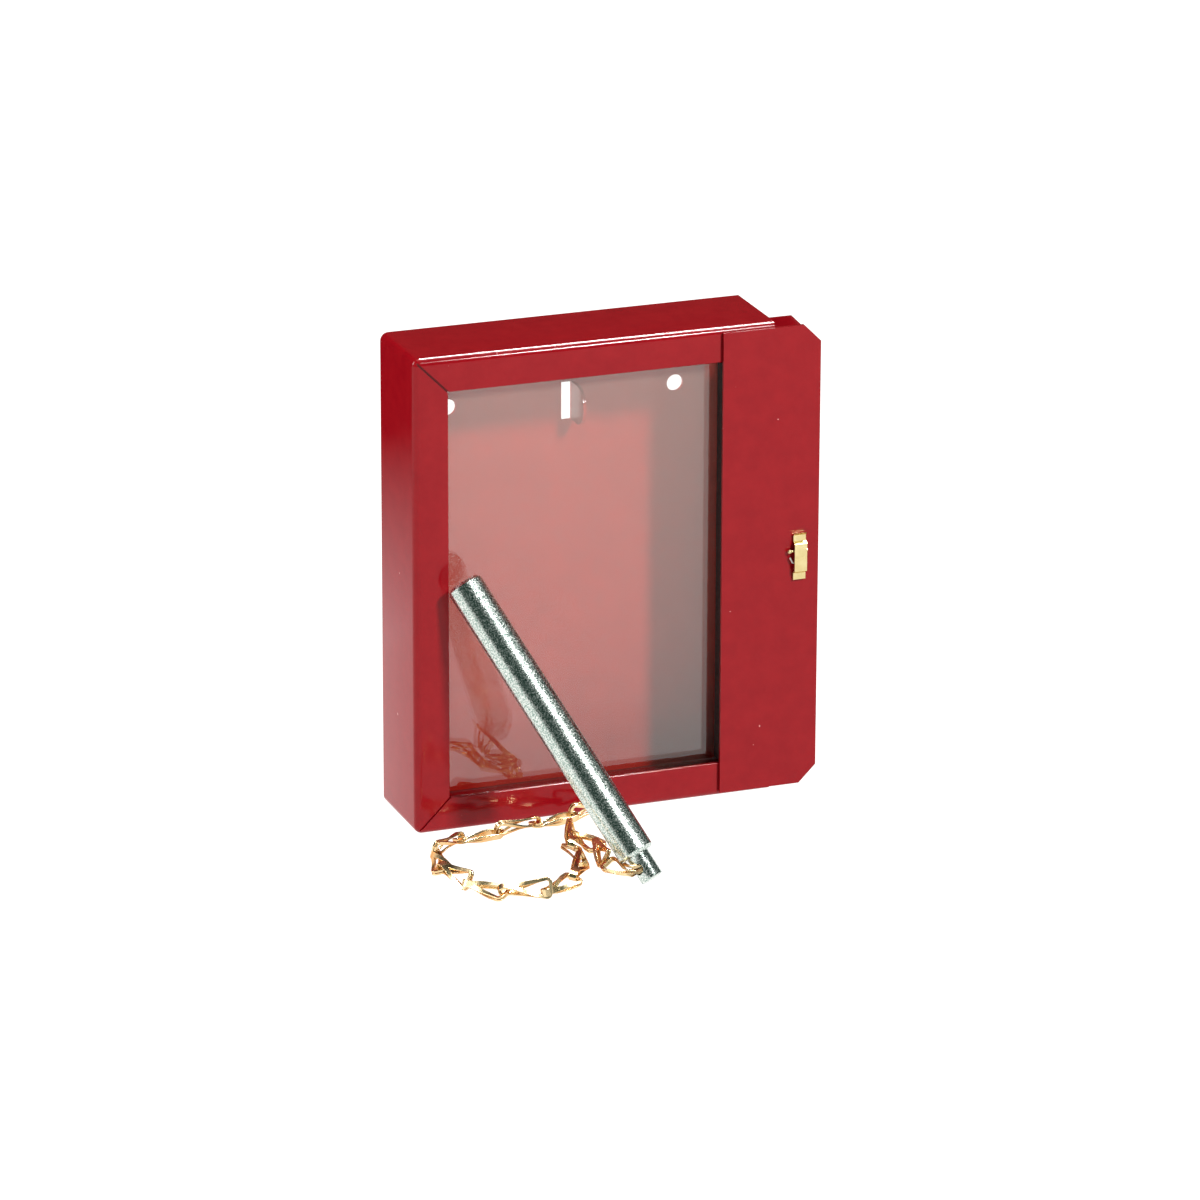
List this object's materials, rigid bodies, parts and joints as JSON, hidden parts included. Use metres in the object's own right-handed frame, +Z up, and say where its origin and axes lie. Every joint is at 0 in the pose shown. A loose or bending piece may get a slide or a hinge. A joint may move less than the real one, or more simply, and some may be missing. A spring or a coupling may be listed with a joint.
{
  "type": "break-glass key box",
  "caption": "Sheet-steel emergency key box with a glass pane, a sliding sealed cover strip and a turned striker on a link chain.",
  "frame": {"origin": "centre of the underside of the case, on the surface it stands on", "axes": "+Z up, -Y out of the glazed front, +X to the right along the front"},
  "size_m": [0.1363, 0.0958, 0.15],
  "materials": {
    "red_paint": "semi-gloss powder coat",
    "zinc_steel": "bright zinc",
    "striker_steel": "turned and bright zinc plated",
    "pane_glass": "clear",
    "black_rubber": "matt",
    "brass": "bright",
    "chain_brass": "bright"
  },
  "bodies": {
    "case": {"case_shell": "red_paint", "back_plate": "red_paint", "side_wall": "red_paint", "upper_pane_channel": "zinc_steel", "lower_pane_channel": "zinc_steel", "left_pane_channel": "zinc_steel", "chain_eye": "brass", "chain_eye_nut": "brass", "chain": "chain_brass"},
    "pane": {"pane": "pane_glass"},
    "cover": {"cover_plate": "red_paint", "cover_edge_seal": "black_rubber", "upper_slide_clip": "zinc_steel", "lower_slide_clip": "zinc_steel"},
    "catch": {"catch_strap": "brass", "catch_pin": "brass", "seal_wire": "zinc_steel"},
    "striker": {"striker": "striker_steel", "striker_end_link": "chain_brass"}
  },
  "joints": [
    {"name": "cover_slide", "type": "slide", "parent": "case", "child": "cover", "axis": [1, 0, 0], "range_m": [0, 0.015]},
    {"name": "catch_pull", "type": "slide", "parent": "cover", "child": "catch", "axis": [0, -1, 0], "range_m": [0, 0.01]},
    {"name": "pane_slide", "type": "slide", "parent": "case", "child": "pane", "axis": [1, 0, 0], "range_m": [0, 0.008]},
    {"name": "striker_tilt", "type": "hinge", "parent": "case", "child": "striker", "pos_m": [-0.00616, -0.07549, 0.0002], "axis": [0.8417, 0.5399, 0], "range_deg": [0, 42]}
  ]
}
